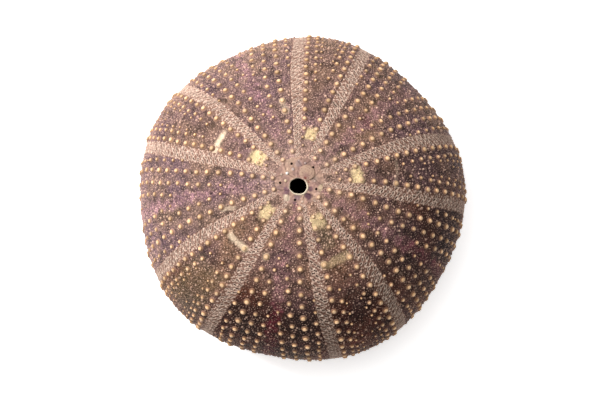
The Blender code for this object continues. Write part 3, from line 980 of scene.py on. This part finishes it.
def crown(heap):
    turns, rows = 300, 56
    phi = np.linspace(0.0, 2.0 * np.pi, turns + 1)[::-1]
    t = np.r_[np.linspace(0.0, 1.0, rows) ** 0.92]
    wob = 1.0 + 0.025 * np.cos(2 * phi + 0.6) + 0.018 * np.cos(3 * phi + 2.0) + 0.012 * np.cos(7 * phi)
    tooth = 0.10 * np.exp(-(((np.degrees(phi) - 192.0) / 9.0) ** 2))
    hole = 1.99 * wob * (1.0 + 0.035 * np.cos(2 * phi - 0.4)) - tooth
    vx, vy = -0.02, VENT_SHIFT - 0.10
    hx, hy = vx + hole * np.cos(phi), vy + hole * np.sin(phi)
    ox, oy = (DISC_R + 0.35) * np.cos(phi), (DISC_R + 0.35) * np.sin(phi)
    x = hx[None, :] * (1 - t[:, None]) + ox[None, :] * t[:, None]
    y = hy[None, :] * (1 - t[:, None]) + oy[None, :] * t[:, None]
    r = np.hypot(x, y)
    z = np.interp(r, ARC_R[: len(ARC_R) // 2], ARC_Z[: len(ARC_Z) // 2])
    p0 = np.stack([x, y, z], -1)
    d_hole = np.hypot(x - vx, y - vy) - hole[None, :]
    # plates: five with a gonopore, five smaller ones between them
    seeds = [(g[0] * 0.80, g[1] * 0.80, 0.0) for g in GONOPORES]
    seeds += [
        (5.35 * math.cos(math.radians(a)), 5.35 * math.sin(math.radians(a)), 0.55)
        for a in TUBE_FOOT
    ]
    dist = np.stack([np.hypot(x - a, y - b) + c for a, b, c in seeds], -1)
    dist = np.sort(dist, -1)
    suture = np.exp(-(((dist[..., 1] - dist[..., 0]) / 0.22) ** 2))
    h = -0.09 * suture + 0.05 * (noise(p0, 0.9, 81) - 0.5) + 0.05 * (noise(p0, 0.45, 82) - 0.5)
    rim = np.exp(-(((d_hole - 0.20) / 0.20) ** 2))
    col = np.broadcast_to(lin(190, 152, 132), x.shape + (3,))
    m1, m2 = noise(p0, 1.6, 83), noise(p0, 0.55, 84)
    col = mix(col, lin(156, 118, 112), smooth(m1, 0.42, 0.75) * 0.6)
    col = mix(col, lin(206, 172, 146), smooth(1 - m1, 0.55, 0.85) * 0.6)
    col = col * (0.70 + 0.56 * m2)[..., None]
    for sx, sy, reach, tint, amount in TOP_STAINS:
        w = (noise(p0, 0.8, 85) - 0.5) * 0.7
        d = np.hypot(x - sx, y - sy) / reach + w
        col = mix(col, tint, amount * (1 - smooth(d, 0.45, 1.05)))
    col = col * (1 - 0.42 * suture)[..., None]
    grit = smooth(noise(p0, 0.42, 88), 0.45, 0.85)
    col = col * (0.88 + 0.30 * grit)[..., None]
    h = h + 0.05 * grit
    # the sieve plate
    ds = np.hypot(x - SIEVE[0], y - SIEVE[1]) / SIEVE[2]
    on = (1 - smooth(ds, 0.90, 1.02)) * smooth(d_hole, 0.22, 0.5)
    dome = np.sqrt(np.clip(1 - (ds * 0.92) ** 2, 0, 1))
    pit = smooth(noise(p0, 0.24, 86), 0.52, 0.80)
    h = h * (1 - on) + on * (0.06 + 0.30 * dome - 0.07 * pit)
    h = h - 0.07 * np.exp(-(((ds - 1.06) / 0.07) ** 2)) * smooth(d_hole, 0.2, 0.5)
    sieve_col = mix(np.broadcast_to(lin(186, 152, 130), col.shape), lin(140, 108, 96), 0.65 * pit)
    blush = 1 - smooth(np.hypot(x - 1.35, y - 1.35), 0.3, 1.3)
    sieve_col = mix(sieve_col, lin(146, 108, 100), 0.75 * blush)
    red = 1 - smooth(np.hypot(x - 1.25, y - 0.85), 0.15, 0.55)
    sieve_col = mix(sieve_col, lin(120, 50, 40), 0.85 * red)
    col = mix(col, sieve_col, on)
    for bx, by, br, bh, tint in TOP_BEADS:
        d = np.hypot(x - bx, y - by) / br
        lump = np.sqrt(np.clip(1 - d * d, 0, 1))
        h = np.maximum(h, -0.05 + (bh + 0.05) * lump) * (d < 1) + h * (d >= 1)
        col = mix(col, tint, 1 - smooth(d, 0.7, 1.02))
        # painted shade: a thin dark ring round the foot of each bead
        col = col * (1 - 0.25 * np.exp(-(((d - 1.12) / 0.12) ** 2)))[..., None]
    for gx, gy in GONOPORES:
        d = np.hypot(x - gx, y - gy)
        ring = np.exp(-(((d - 0.42) / 0.12) ** 2))
        h = h + 0.06 * ring - 0.55 * (1 - smooth(d, 0.14, 0.33))
        # painted shade: each gonopore is a dent painted near black for the dark hole
        col = mix(col, lin(30, 20, 18), 1 - smooth(d, 0.20, 0.36))
    # a dark slit beside the top of one tube-foot area
    sx, sy = x + 0.42, y - 5.72
    a = math.radians(66.0)
    la, lb = sx * math.cos(a) + sy * math.sin(a), -sx * math.sin(a) + sy * math.cos(a)
    slit = (1 - smooth(np.abs(la), 0.35, 0.6)) * (1 - smooth(np.abs(lb), 0.06, 0.2))
    h = h - 0.2 * slit
    col = mix(col, lin(70, 46, 36), 0.85 * slit)
    # the raised pale lip of the opening; it is painted wider and lighter on its lower right, where the opening's inner
    # wall faces the key lamp, and darker on the far side: painted light and shade
    h = h * (1 - 0.6 * rim) + 0.26 * rim
    lip = 1 - smooth(d_hole, 0.22 + 0.14 * np.cos(phi + math.radians(42.0)), 0.38 + 0.16 * np.cos(phi + math.radians(42.0)))
    ang = np.arctan2(y - vy, x - vx)
    rosy = 0.55 * np.exp(-(((np.degrees(ang) - 75.0) / 34.0) ** 2))
    lip_col = mix(np.broadcast_to(lin(240, 222, 194), col.shape), lin(212, 156, 146), rosy)
    # painted light: the lip's brightness by its side towards the key lamp
    lower = 0.5 + 0.5 * np.cos(ang + math.radians(42.0))
    lip_col = lip_col * ((0.62 + 0.40 * lower) * (0.84 + 0.30 * noise(p0, 0.7, 87)))[..., None]
    col = mix(col, lip_col, lip)
    h = h - 0.16 * smooth(r, DISC_R - 0.12, DISC_R + 0.35)
    z = z + h
    top = BASE_H + CROWN_H - 0.02
    co = np.stack([x, y + Y0, np.minimum(z, top)], -1)
    col = col * EXPO * 0.94
    # down through the wall at the opening
    deep = []
    deep_c = []
    for dz, grow in ((1.35, 0.28), (0.9, 0.16), (0.45, 0.03), (0.14, -0.02)):
        rr = hole + grow
        zz = np.full_like(phi, BASE_H + CROWN_H - SKIN - dz + 0.02)
        deep.append(np.stack([vx + rr * np.cos(phi), vy + rr * np.sin(phi) + Y0, zz], -1))
        deep_c.append(np.broadcast_to(lin(150, 128, 112) * EXPO * 0.8, (len(phi), 3)))
    co = np.concatenate([np.stack(deep), co], 0)
    col = np.concatenate([np.stack(deep_c), col], 0)
    # polar picture layout
    rows_all = co.shape[0]
    ruv = 0.10 + 0.38 * np.linspace(0.0, 1.0, rows_all)
    uv = np.stack(
        [0.5 + ruv[:, None] * np.cos(phi)[None, :], 0.5 + ruv[:, None] * np.sin(phi)[None, :]], -1
    )
    i, j = np.meshgrid(np.arange(rows_all - 1), np.arange(turns), indexing="ij")
    a = i * (turns + 1) + j
    quads = np.stack([a, a + 1, a + turns + 2, a + turns + 1], -1)
    heap.add(co, rgba(col, 0.45), uv, quads)


# ---- the inside of the shell ---------------------------------------------------------
def lining_curve():
    r, z = moved_in(ENV_R, ENV_Z, WALL)
    keep = ((r > VENT_R + 0.28) | (z < 30.0)) & ((r > FLAT_IN) | (z > 10.0))
    r, z = r[keep], z[keep]
    r[0] = VENT_R + 0.28
    r = np.r_[r, 16.6, 15.3, 14.6, 14.2, 13.9, 13.4, 13.05, 12.85, 12.72, 12.62, 12.60, EDGE_R]
    z = np.r_[z, 2.25, 2.70, 3.35, 3.75, 3.85, 3.85, 3.70, 3.35, 2.95, 2.60, 2.25, 2.00]
    return by_length(r, z, 0.05)


IN_S, IN_R, IN_Z = lining_curve()


def lining(heap, k):
    """Inner wall, the low ridge inside the lower opening and its edge."""
    rows = np.r_[np.linspace(0.0, IN_S[-1] - 7.5, 84), np.linspace(IN_S[-1] - 7.5, IN_S[-1], 34)[1:]]
    cols = 58
    mid = math.radians(TUBE_FOOT[k] + 18.0)
    phi = np.linspace(mid - math.radians(36.0), mid + math.radians(36.0), cols)
    r = np.interp(rows, IN_S, IN_R)[:, None] + np.zeros((1, cols))
    z = np.interp(rows, IN_S, IN_Z)[:, None] + np.zeros((1, cols))
    F = np.repeat(phi[None, :], len(rows), 0)
    co = place(r, z, F)
    shift = VENT_SHIFT * (1 - smooth(r, VENT_R, 9.0)) * (z > 30)
    co[..., 1] += shift
    # pore rows and sutures show inside as fine dents
    off = np.degrees(F)
    near = np.min([np.abs((off - a + 180.0) % 360.0 - 180.0) for a in TUBE_FOOT], 0)
    band_in = np.exp(-(((near - 13.0) / 2.6) ** 2))
    plates = np.cos(2 * np.pi * rows / 2.9)[:, None]
    dents = 0.06 * plates * np.ones_like(r) + 0.10 * band_in * np.cos(2 * np.pi * rows / 1.35)[:, None]
    fade = smooth(rows, 3.0, 8.0) * (1 - smooth(rows, IN_S[-1] - 12.0, IN_S[-1] - 8.0))
    mean = np.array([0.0, Y0, 20.0])
    inward = mean - co
    inward /= np.linalg.norm(inward, axis=-1, keepdims=True)
    p0 = co.copy()
    bump = dents * fade[:, None] + 0.10 * (noise(p0, 2.2, 91) - 0.5) * fade[:, None]
    co = co + inward * (bump + 0.08 * fade[:, None])[..., None]
    col = np.broadcast_to(lin(206, 184, 176), r.shape + (3,))
    wide, fine = noise(p0, 8.0, 92), noise(p0, 1.4, 93)
    col = mix(col, lin(172, 140, 156), smooth(wide, 0.40, 0.75) * 0.6)
    med = np.min([np.abs((off - a + 180.0) % 360.0 - 180.0) for a in PLAIN], 0)
    col = mix(col, lin(158, 122, 146), 0.5 * np.exp(-((med / 4.5) ** 2)) * fade[:, None])
    col = mix(col, lin(150, 124, 112), 0.55 * band_in * (0.5 + 0.5 * np.cos(2 * np.pi * rows / 1.35))[:, None])
    col = col * (0.84 + 0.32 * fine)[..., None]
    ridge = smooth(rows, IN_S[-1] - 8.0, IN_S[-1] - 5.0)[:, None]
    col = mix(col, lin(214, 198, 176), 0.7 * ridge)
    # rows run from the vent outwards and the face looks inwards
    heap.grid(co * 1.0, rgba(col * EXPO, 0.6), (0.02, 0.80, 0.02, 0.98))
    # the arch that held the jaws, over this sector's tube-foot radius
    arch(heap, math.radians(TUBE_FOOT[k]))


def arch(heap, phi):
    seg, around = 22, 10
    t = np.linspace(0.0, np.pi, seg)
    half, tall = 2.15, 3.55
    # broad at the feet and narrow on top, with an eye through it
    lat = half * np.cos(t) * (1.0 + 0.12 * np.sin(t))
    up = 3.1 + tall * np.sin(t) ** 0.8
    width = 0.62 + 0.38 * np.cos(t) ** 2
    depth = 0.55 + 0.10 * np.cos(t) ** 2
    r0 = 13.75 + 0.5 * np.sin(t)
    th = np.linspace(0, 2 * np.pi, around + 1)
    dlat, dup = np.gradient(lat), np.gradient(up)
    size = np.hypot(dlat, dup)
    nl, nu = dup / size, -dlat / size
    c, s = np.cos(th), np.sin(th)
    L = lat[:, None] + nl[:, None] * width[:, None] * c[None, :]
    Z = up[:, None] + nu[:, None] * width[:, None] * c[None, :]
    R = r0[:, None] + depth[:, None] * s[None, :]
    ang = phi - L / 13.9
    co = np.stack([R * np.cos(ang), R * np.sin(ang) + Y0, Z], -1)
    col = np.broadcast_to(lin(222, 208, 184), co.shape[:-1] + (3,))
    col = col * (0.82 + 0.34 * noise(co, 0.9, 95))[..., None] * EXPO
    co = co[:, ::-1]
    col = col[:, ::-1]
    heap.grid(co, rgba(col, 0.5), (0.84, 0.98, 0.02, 0.5))


# ---- materials ------------------------------------------------------------------------
def lime(name, speckle, bump, rough, grain, sheen=0.22, cell=0.0):
    """Chalky lime: the grown colours, with fine mottling, pits and a soft sheen."""
    mat = bpy.data.materials.new(name)
    mat.use_nodes = True
    nt = mat.node_tree
    bsdf = nt.nodes["Principled BSDF"]
    new, link = nt.nodes.new, nt.links.new

    def noise_node(scale, detail, roughness=0.6, w=0.0):
        n = new("ShaderNodeTexNoise")
        n.inputs["Scale"].default_value = scale
        n.inputs["Detail"].default_value = detail
        n.inputs["Roughness"].default_value = roughness
        link(where.outputs["Vector"], n.inputs["Vector"])
        return n

    def ranged(src, a, b, c, d):
        n = new("ShaderNodeMapRange")
        for key, val in (("From Min", a), ("From Max", b), ("To Min", c), ("To Max", d)):
            n.inputs[key].default_value = val
        link(src, n.inputs["Value"])
        return n.outputs["Result"]

    def maths(op, a, b):
        n = new("ShaderNodeMath")
        n.operation = op
        for i, v in enumerate((a, b)):
            if isinstance(v, (int, float)):
                n.inputs[i].default_value = v
            else:
                link(v, n.inputs[i])
        return n.outputs[0]

    tint = new("ShaderNodeAttribute")
    tint.attribute_name = "tint"
    coord = new("ShaderNodeTexCoord")
    where = new("ShaderNodeMapping")
    where.inputs["Scale"].default_value = (1000.0, 1000.0, 1000.0)
    link(coord.outputs["Object"], where.inputs["Vector"])
    a = noise_node(1.7, 4.0)
    b = noise_node(0.45, 3.0)
    pits = new("ShaderNodeTexVoronoi")
    pits.feature = "F1"
    pits.inputs["Scale"].default_value = grain
    link(where.outputs["Vector"], pits.inputs["Vector"])
    fa = ranged(a.outputs["Fac"], 0.30, 0.70, 1.0 - speckle, 1.0 + speckle)
    fb = ranged(b.outputs["Fac"], 0.35, 0.65, 0.93, 1.07)
    fp = ranged(pits.outputs["Distance"], 0.05, 0.42, 1.0 + 0.6 * speckle, 1.0 - 0.5 * speckle)
    mottle = maths("MULTIPLY", fa, fp)
    if cell:
        # close-set granules: pale middles, dark gaps, each its own shade
        grit = new("ShaderNodeTexVoronoi")
        grit.feature = "F1"
        grit.inputs["Scale"].default_value = 2.15
        link(where.outputs["Vector"], grit.inputs["Vector"])
        lump = ranged(grit.outputs["Distance"], 0.10, 0.52, 1.0 + cell, 1.0 - 1.15 * cell)
        part = new("ShaderNodeSeparateColor")
        link(grit.outputs["Color"], part.inputs[0])
        own = ranged(part.outputs[0], 0.0, 1.0, 0.76, 1.26)
        mottle = maths("MULTIPLY", mottle, maths("MULTIPLY", lump, own))
    strength = maths("MULTIPLY", maths("SUBTRACT", mottle, 1.0), tint.outputs["Alpha"])
    factor = maths("MULTIPLY", maths("ADD", strength, 1.0), fb)
    grey = new("ShaderNodeCombineColor")
    for i in range(3):
        link(factor, grey.inputs[i])
    mul = new("ShaderNodeMix")
    mul.data_type = "RGBA"
    mul.blend_type = "MULTIPLY"
    mul.inputs[0].default_value = 1.0
    link(tint.outputs["Color"], mul.inputs[6])
    link(grey.outputs[0], mul.inputs[7])
    link(mul.outputs[2], bsdf.inputs["Base Color"])
    if rough:
        link(ranged(a.outputs["Fac"], 0.25, 0.75, rough[0], rough[1]), bsdf.inputs["Roughness"])
    else:
        bsdf.inputs["Roughness"].default_value = 0.62
    bsdf.inputs["Specular IOR Level"].default_value = sheen
    if bump:
        hgt = maths("ADD", maths("MULTIPLY", a.outputs["Fac"], 0.7), maths("MULTIPLY", pits.outputs["Distance"], -0.45))
        if cell:
            hgt = maths("ADD", hgt, maths("MULTIPLY", grit.outputs["Distance"], -0.8))
        bm = new("ShaderNodeBump")
        bm.inputs["Strength"].default_value = bump
        bm.inputs["Distance"].default_value = 0.00022
        link(hgt, bm.inputs["Height"])
        link(bm.outputs["Normal"], bsdf.inputs["Normal"])
    return mat


plates_mat = lime("urchin_plates", 0.26, 0.60, (0.55, 0.82), 3.6, 0.08, 0.36)
knobs_mat = lime("urchin_knobs", 0.10, 0.25, None, 5.0, 0.20)
crown_mat = lime("urchin_crown", 0.16, 0.40, (0.45, 0.75), 4.5)
lining_mat = lime("urchin_lining", 0.14, 0.30, None, 2.4)

# ---- making the pieces ----------------------------------------------------------------
tris = {}
for k in range(5):
    body = Heap()
    plate_half(body, "I", k, -1, 27, (0.010, 0.225, 0.01, 0.99))
    plate_half(body, "I", k, 1, 27, (0.235, 0.450, 0.01, 0.99))
    pore_band(body, k, -1, 24, (0.465, 0.605, 0.01, 0.99))
    pore_band(body, k, 1, 24, (0.845, 0.985, 0.01, 0.99))
    plate_half(body, "A", k, -1, 13, (0.620, 0.720, 0.01, 0.99))
    plate_half(body, "A", k, 1, 13, (0.730, 0.830, 0.01, 0.99))
    tris["plates"] = tris.get("plates", 0) + body.tri_count()
    body.build(f"plates_{k}", plates_mat)
    knobs = Heap()
    relief(k, knobs)
    tris["relief"] = tris.get("relief", 0) + knobs.tri_count()
    knobs.build(f"knobs_{k}", knobs_mat)
    inside = Heap()
    lining(inside, k)
    tris["lining"] = tris.get("lining", 0) + inside.tri_count()
    inside.build(f"lining_{k}", lining_mat)
top = Heap()
crown(top)
tris["crown"] = top.tri_count()
top.build("crown_plates", crown_mat)
print("triangles", tris, sum(tris.values()), "knobs", len(ALL_KNOBS))


# ---- studio ----------------------------------------------------------------------------
def floor():
    mesh = bpy.data.meshes.new("floor")
    n = 48
    ring = [(4.0 * math.cos(2 * math.pi * i / n), 4.0 * math.sin(2 * math.pi * i / n), 0.0) for i in range(n)]
    mesh.from_pydata(ring, [], [tuple(range(n))])
    ob = bpy.data.objects.new("floor", mesh)
    bpy.context.scene.collection.objects.link(ob)
    mat = bpy.data.materials.new("paper")
    mat.use_nodes = True
    bsdf = mat.node_tree.nodes["Principled BSDF"]
    bsdf.inputs["Base Color"].default_value = (0.93, 0.93, 0.93, 1.0)
    bsdf.inputs["Roughness"].default_value = 0.9
    bsdf.inputs["Specular IOR Level"].default_value = 0.1
    bsdf.inputs["Emission Color"].default_value = (1.0, 1.0, 1.0, 1.0)
    # lit from behind like a light table, but for the part that the shell covers
    nt = mat.node_tree
    coord = nt.nodes.new("ShaderNodeTexCoord")
    far = nt.nodes.new("ShaderNodeVectorMath")
    far.operation = "LENGTH"
    glow = nt.nodes.new("ShaderNodeMapRange")
    for key, val in (("From Min", 0.028), ("From Max", 0.036), ("To Min", 0.0), ("To Max", 0.56)):
        glow.inputs[key].default_value = val
    nt.links.new(coord.outputs["Object"], far.inputs[0])
    nt.links.new(far.outputs["Value"], glow.inputs["Value"])
    nt.links.new(glow.outputs["Result"], bsdf.inputs["Emission Strength"])
    # painted shade: the floor under the middle of the shell is painted near black, so the inside seen through the
    # openings stays dark
    paper = nt.nodes.new("ShaderNodeMapRange")
    for key, val in (("From Min", 0.012), ("From Max", 0.020), ("To Min", 0.0), ("To Max", 1.0)):
        paper.inputs[key].default_value = val
    tone = nt.nodes.new("ShaderNodeMix")
    tone.data_type = "RGBA"
    tone.inputs[6].default_value = (0.004, 0.004, 0.004, 1.0)
    tone.inputs[7].default_value = (0.93, 0.93, 0.93, 1.0)
    nt.links.new(far.outputs["Value"], paper.inputs["Value"])
    nt.links.new(paper.outputs["Result"], tone.inputs[0])
    nt.links.new(tone.outputs[2], bsdf.inputs["Base Color"])
    mesh.materials.append(mat)


def lamp(name, azimuth, elevation, dist, size, power, colour=(1, 1, 1)):
    """azimuth counts anticlockwise from +X, seen from above."""
    data = bpy.data.lights.new(name, "AREA")
    data.shape = "DISK"
    data.size = size
    data.energy = power
    data.color = colour
    ob = bpy.data.objects.new(name, data)
    a, e = math.radians(azimuth), math.radians(elevation)
    spot = Vector((math.cos(a) * math.cos(e), math.sin(a) * math.cos(e), math.sin(e)))
    ob.location = Vector((0, 0, 0.02)) + spot * dist
    ob.rotation_mode = "QUATERNION"
    ob.rotation_quaternion = spot.to_track_quat("Z", "Y")
    bpy.context.scene.collection.objects.link(ob)


def studio():
    floor()
    world = bpy.data.worlds.new("studio")
    world.use_nodes = True
    nt = world.node_tree
    back = nt.nodes["Background"]
    back.inputs["Color"].default_value = (1.0, 1.0, 1.0, 1.0)
    back.inputs["Strength"].default_value = 0.24
    plain = nt.nodes.new("ShaderNodeBackground")
    plain.inputs["Color"].default_value = (1.0, 1.0, 1.0, 1.0)
    plain.inputs["Strength"].default_value = 1.0
    pick = nt.nodes.new("ShaderNodeMixShader")
    path = nt.nodes.new("ShaderNodeLightPath")
    nt.links.new(path.outputs["Is Camera Ray"], pick.inputs[0])
    nt.links.new(back.outputs[0], pick.inputs[1])
    nt.links.new(plain.outputs[0], pick.inputs[2])
    nt.links.new(pick.outputs[0], nt.nodes["World Output"].inputs["Surface"])
    bpy.context.scene.world = world
    lamp("key", 162.0, 42.0, 0.9, 0.34, 10.4)
    lamp("sky", 160.0, 82.0, 1.0, 0.75, 6.0)
    bpy.context.scene.view_settings.view_transform = "Standard"
    bpy.context.scene.view_settings.look = "None"


def camera():
    a, e, roll = math.radians(14.53), math.radians(80.4), math.radians(3.47)
    back = Vector((math.sin(a) * math.cos(e), -math.cos(a) * math.cos(e), math.sin(e)))
    right = Vector((math.cos(a), math.sin(a), 0.0))
    up = Vector((-math.sin(a) * math.sin(e), math.cos(a) * math.sin(e), math.cos(e)))
    right, up = (
        right * math.cos(roll) - up * math.sin(roll),
        right * math.sin(roll) + up * math.cos(roll),
    )
    data = bpy.data.cameras.new("camera")
    data.lens, data.sensor_width = 124.2, 36.0
    data.clip_start, data.clip_end = 0.05, 20.0
    ob = bpy.data.objects.new("camera", data)
    target = Vector((0.0, Y0 * MM, 0.018))
    rot = Matrix((right, up, back)).transposed()
    ob.matrix_world = Matrix.Translation(
        target + back * 0.540 + right * 0.00134 - up * 0.00130
    ) @ rot.to_4x4()
    bpy.context.scene.collection.objects.link(ob)
    bpy.context.scene.camera = ob


studio()
camera()
